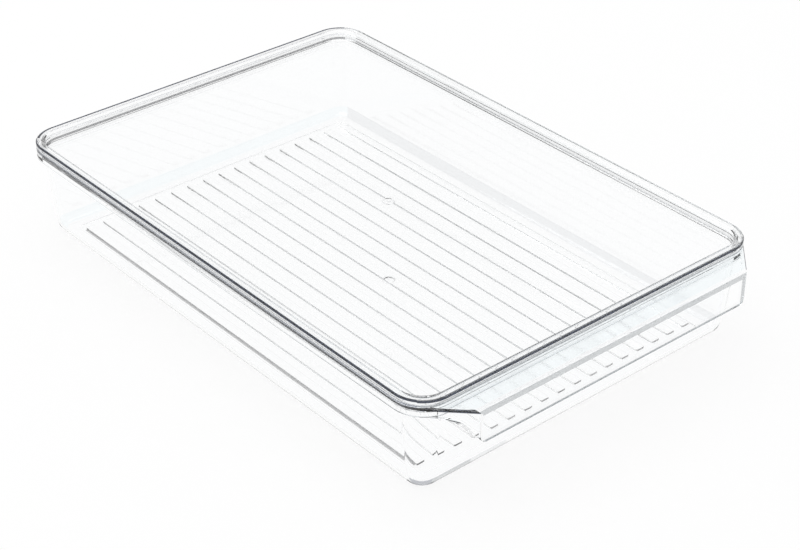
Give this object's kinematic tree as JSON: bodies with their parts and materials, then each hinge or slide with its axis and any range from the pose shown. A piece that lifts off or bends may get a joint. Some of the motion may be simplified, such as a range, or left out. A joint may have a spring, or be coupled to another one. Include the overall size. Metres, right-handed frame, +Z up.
{
  "type": "lidded fridge organizer",
  "caption": "Shallow clear tray with drafted walls, a banded floor and a hooded pull handle, under a flat sunk lid that lifts straight off.",
  "frame": {"origin": "middle of the whole outline seen from above, handle included, on the plane the base rests on", "axes": "+X to the right as seen from the handle, +Y from the handle towards the back, +Z up"},
  "size_m": [0.25, 0.382, 0.063],
  "materials": {
    "clear_plastic": "clear, glossy, faintly blue at the edges"
  },
  "bodies": {
    "tray": {"tray": "clear_plastic"},
    "lid": {"lid": "clear_plastic"}
  },
  "joints": [
    {"name": "lid_lift", "type": "slide", "parent": "tray", "child": "lid", "axis": [0, 0, 1], "range_m": [0, 0.06]}
  ]
}
